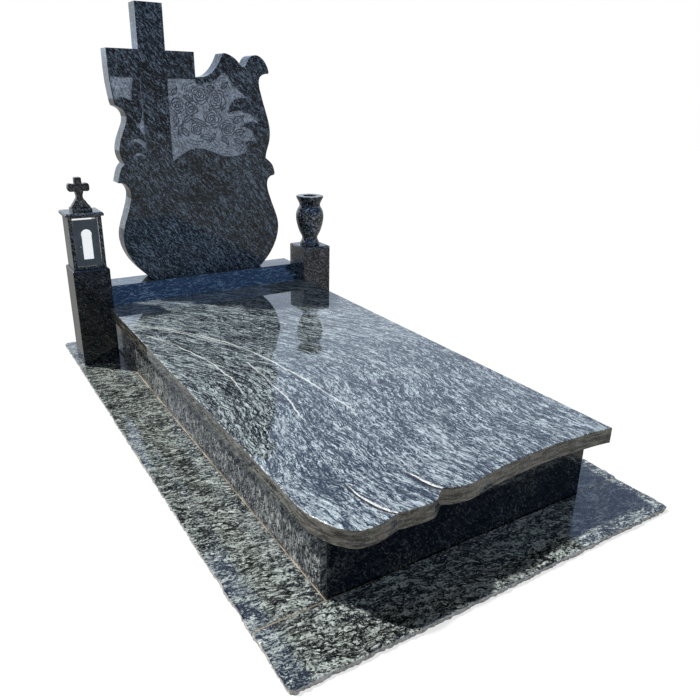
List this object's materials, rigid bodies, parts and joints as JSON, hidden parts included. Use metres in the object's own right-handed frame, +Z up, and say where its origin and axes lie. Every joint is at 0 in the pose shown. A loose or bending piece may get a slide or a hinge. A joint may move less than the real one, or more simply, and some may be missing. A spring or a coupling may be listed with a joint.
{
  "type": "granite grave monument",
  "caption": "Kerbed granite grave with a wave-fronted cover slab, a scroll-edged headstone with a sunk-relief cross, a lantern with a hinged door and a flower vase.",
  "frame": {"origin": "middle of the footprint on the ground, the underside of the paving plates", "axes": "+X to the vase's side, -Y the front, the foot of the grave, +Y the headstone's side, +Z up"},
  "size_m": [1.29, 2.318, 1.486],
  "materials": {
    "apron_granite": "polished, mottled green-grey with pale and dark streaks",
    "kerb_granite": "polished, dark brown-grey to blue-grey",
    "slab_granite": "polished, blue-grey with flowing pale and dark veins",
    "base_granite": "polished, deep blue-grey",
    "headstone_granite": "polished, charcoal blue with pale flecks; sunk fields matt and paler",
    "pedestal_granite": "polished, near black with grey-green flecks",
    "lantern_granite": "polished, near black with grey flecks",
    "vase_granite": "polished, dark grey with pale flecks",
    "mortar": "matt, sandy beige",
    "door_metal": "satin blue-grey paint",
    "pale_metal": "satin",
    "clear_glass": "clear"
  },
  "bodies": {
    "monument": {"apron_front": "apron_granite", "apron_left": "apron_granite", "apron_right": "apron_granite", "apron_rear": "apron_granite", "mortar_joint": "mortar", "kerb_front": "kerb_granite", "kerb_left": "kerb_granite", "kerb_right": "kerb_granite", "kerb_rear": "kerb_granite", "cover_slab": "slab_granite", "headstone_base": "base_granite", "headstone": "headstone_granite", "lantern_pedestal": "pedestal_granite", "vase_pedestal": "pedestal_granite", "lantern_body": "lantern_granite", "lantern_cap": "lantern_granite", "lantern_finial": "lantern_granite", "lantern_rear_pane": "clear_glass", "lantern_hinge": "door_metal", "vase": "vase_granite"},
    "lantern_door": {"lantern_door": "door_metal", "lantern_door_glass": "clear_glass", "lantern_door_knob": "pale_metal"}
  },
  "joints": [
    {"name": "lantern_door", "type": "hinge", "parent": "monument", "child": "lantern_door", "pos_m": [-0.5002, 0.8427, 0.548], "axis": [0, 0, 1], "range_deg": [0, 105]}
  ]
}
